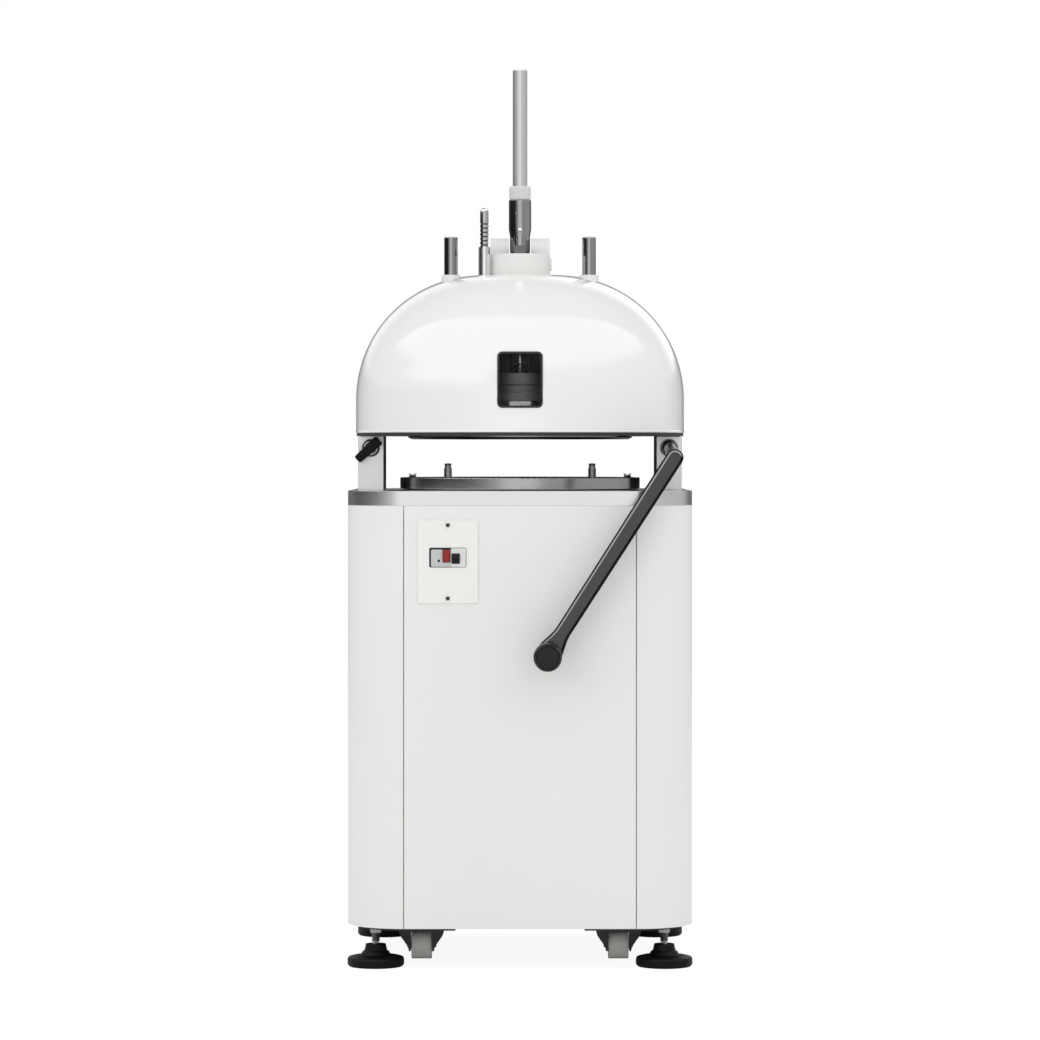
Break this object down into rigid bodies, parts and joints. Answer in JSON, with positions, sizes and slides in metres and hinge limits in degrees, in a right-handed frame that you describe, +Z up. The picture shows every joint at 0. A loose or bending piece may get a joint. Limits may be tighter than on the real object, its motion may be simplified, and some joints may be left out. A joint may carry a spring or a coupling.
{
  "type": "divider rounder",
  "caption": "Dough divider rounder: cabinet on feet and casters, orbiting table, columns, domed press head with knives, press lever and rounding lever.",
  "frame": {"origin": "on the floor, below the axis of the domed head", "axes": "+Z up, -Y to the front with the switch, +X to the side with the rounding lever"},
  "size_m": [0.64, 0.786, 1.687],
  "materials": {
    "white_enamel": "glossy white enamel",
    "deck_steel": "polished stainless sheet",
    "column_steel": "satin stainless sheet",
    "table_steel": "turned and polished",
    "frame_paint": "grey primer",
    "head_iron": "dark paint",
    "edging_rubber": "matt black",
    "pane_glass": "clear",
    "chrome": "polished",
    "lever_steel": "satin tube",
    "bronze": "bronze bush",
    "spring_steel": "drawn wire",
    "switch_white": "glossy",
    "switch_grey": "satin",
    "zinc": "zinc plated",
    "black_plastic": "satin black",
    "motor_paint": "blue grey paint",
    "belt_rubber": "matt",
    "grey_iron": "machined casting",
    "black_paint": "satin black paint",
    "ring_steel": "polished stainless",
    "head_alloy": "machined casting",
    "pad_plastic": "food safe plastic",
    "machine_steel": "machined",
    "lever_black": "satin black coat",
    "grip_black": "moulded, semi-gloss",
    "stop_red": "glossy red",
    "start_black": "glossy black",
    "wheel_grey": "grey tread"
  },
  "bodies": {
    "base": {"base_rails": "black_paint", "inner_frame": "frame_paint", "side_shell_left": "white_enamel", "side_shell_right": "white_enamel", "front_panel": "white_enamel", "rear_panel": "white_enamel", "deck_plate": "deck_steel", "column_left": "column_steel", "column_right": "column_steel", "head_frame": "head_iron", "dome_shell": "white_enamel", "window_edging": "edging_rubber", "window_pane": "pane_glass", "lever_bracket": "white_enamel", "lever_pivot_pin": "chrome", "post_bosses": "white_enamel", "scale_sleeve": "chrome", "bearing_bushes": "bronze", "return_springs": "spring_steel", "switch_plate": "switch_white", "switch_body": "switch_grey", "cover_screws": "zinc", "cable_gland": "black_plastic", "motor": "motor_paint", "drive_belt": "belt_rubber", "bearing_housings": "grey_iron", "foot_pads": "black_plastic", "foot_stems": "zinc", "caster_plates": "black_paint"},
    "press_lever": {"lever_hub": "machine_steel", "lever_socket": "chrome", "socket_ring": "white_enamel", "lever_tube": "lever_steel"},
    "press_head": {"press_spindle": "chrome", "crosshead": "head_alloy", "guide_posts": "chrome", "scale_rod": "chrome", "press_ring": "ring_steel", "press_pads": "pad_plastic", "knife_springs": "spring_steel"},
    "knives": {"knife_star": "ring_steel"},
    "rounding_lever": {"rounding_shaft": "machine_steel", "rounding_arm": "lever_black", "rounding_grip": "grip_black"},
    "pull_rod": {"pull_rod": "machine_steel"},
    "brake_arm": {"brake_arm": "machine_steel"},
    "lock_knob": {"lock_knob": "grip_black"},
    "drive_crank": {"drive_crank": "machine_steel"},
    "table": {"rounding_table": "table_steel", "plate_studs": "machine_steel"},
    "guide_crank_left": {"guide_crank_left": "machine_steel"},
    "guide_crank_right": {"guide_crank_right": "machine_steel"},
    "motor_pulley": {"motor_pulley": "machine_steel"},
    "start_button": {"start_button": "start_black"},
    "stop_button": {"stop_button": "stop_red"},
    "front_fork_left": {"front_fork_left": "black_paint"},
    "front_fork_right": {"front_fork_right": "black_paint"},
    "front_wheel_left": {"front_wheel_left": "wheel_grey"},
    "front_wheel_right": {"front_wheel_right": "wheel_grey"},
    "rear_wheels": {"rear_wheels": "wheel_grey"}
  },
  "joints": [
    {"name": "press_slide", "type": "slide", "parent": "base", "child": "press_head", "axis": [0, 0, -1], "range_m": [0, 0.058], "stiffness_N_per_m": 4000, "springref_m": -0.12, "deforming": ["return_springs"]},
    {"name": "press_lever_swing", "type": "hinge", "parent": "base", "child": "press_lever", "pos_m": [0, 0.058, 1.312], "axis": [1, 0, 0], "range_deg": [0, 60]},
    {"name": "knife_slide", "type": "slide", "parent": "press_head", "child": "knives", "axis": [0, 0, -1], "range_m": [0, 0.01], "stiffness_N_per_m": 3000, "springref_m": -0.03, "deforming": ["knife_springs"]},
    {"name": "rounding_swing", "type": "hinge", "parent": "base", "child": "rounding_lever", "pos_m": [0.2825, -0.08, 0.9595], "axis": [0, -1, 0], "range_deg": [0, 65]},
    {"name": "pull_rod_slide", "type": "slide", "parent": "base", "child": "pull_rod", "axis": [0, 0, 1], "range_m": [0, 0.0108]},
    {"name": "brake_swing", "type": "hinge", "parent": "base", "child": "brake_arm", "pos_m": [0.2, 0.02, 0.7187], "axis": [0, -1, 0], "range_deg": [0, 7.5]},
    {"name": "lock_turn", "type": "hinge", "parent": "base", "child": "lock_knob", "pos_m": [-0.2825, -0.08, 0.9595], "axis": [0, 1, 0], "range_deg": [0, 60]},
    {"name": "drive_spin", "type": "hinge", "parent": "base", "child": "drive_crank", "pos_m": [0, 0, 0.8], "axis": [0, 0, 1], "continuous": true},
    {"name": "table_orbit", "type": "hinge", "parent": "drive_crank", "child": "table", "pos_m": [0, -0.012, 0.88], "axis": [0, 0, 1], "continuous": true},
    {"name": "guide_spin_left", "type": "hinge", "parent": "base", "child": "guide_crank_left", "pos_m": [-0.13, 0.075, 0.82], "axis": [0, 0, 1], "continuous": true},
    {"name": "guide_spin_right", "type": "hinge", "parent": "base", "child": "guide_crank_right", "pos_m": [0.13, 0.075, 0.82], "axis": [0, 0, 1], "continuous": true},
    {"name": "motor_spin", "type": "hinge", "parent": "base", "child": "motor_pulley", "pos_m": [0, 0.2, 0.75], "axis": [0, 0, 1], "continuous": true},
    {"name": "start_push", "type": "slide", "parent": "base", "child": "start_button", "axis": [0, 1, 0], "range_m": [0, 0.003], "stiffness_N_per_m": 400, "springref_m": -0.003},
    {"name": "stop_push", "type": "slide", "parent": "base", "child": "stop_button", "axis": [0, 1, 0], "range_m": [0, 0.003], "stiffness_N_per_m": 400, "springref_m": -0.003},
    {"name": "caster_swivel_left", "type": "hinge", "parent": "base", "child": "front_fork_left", "pos_m": [-0.184, -0.175, 0.06], "axis": [0, 0, 1], "continuous": true},
    {"name": "caster_swivel_right", "type": "hinge", "parent": "base", "child": "front_fork_right", "pos_m": [0.184, -0.175, 0.06], "axis": [0, 0, 1], "continuous": true},
    {"name": "wheel_spin_left", "type": "hinge", "parent": "front_fork_left", "child": "front_wheel_left", "pos_m": [-0.184, -0.16, 0.029], "axis": [1, 0, 0], "continuous": true},
    {"name": "wheel_spin_right", "type": "hinge", "parent": "front_fork_right", "child": "front_wheel_right", "pos_m": [0.184, -0.16, 0.029], "axis": [1, 0, 0], "continuous": true},
    {"name": "rear_wheel_spin", "type": "hinge", "parent": "base", "child": "rear_wheels", "pos_m": [0, 0.175, 0.0293], "axis": [1, 0, 0], "continuous": true}
  ],
  "couplings": [
    {"joint": "press_lever_swing", "follows": "press_slide", "rad_per_m": 18.055},
    {"joint": "pull_rod_slide", "follows": "rounding_swing", "m_per_rad": 0.0094724},
    {"joint": "brake_swing", "follows": "rounding_swing", "ratio": 0.11488},
    {"joint": "table_orbit", "follows": "drive_spin", "ratio": -1},
    {"joint": "guide_spin_left", "follows": "drive_spin", "ratio": 1},
    {"joint": "guide_spin_right", "follows": "drive_spin", "ratio": 1},
    {"joint": "motor_spin", "follows": "drive_spin", "ratio": 3.4375}
  ]
}
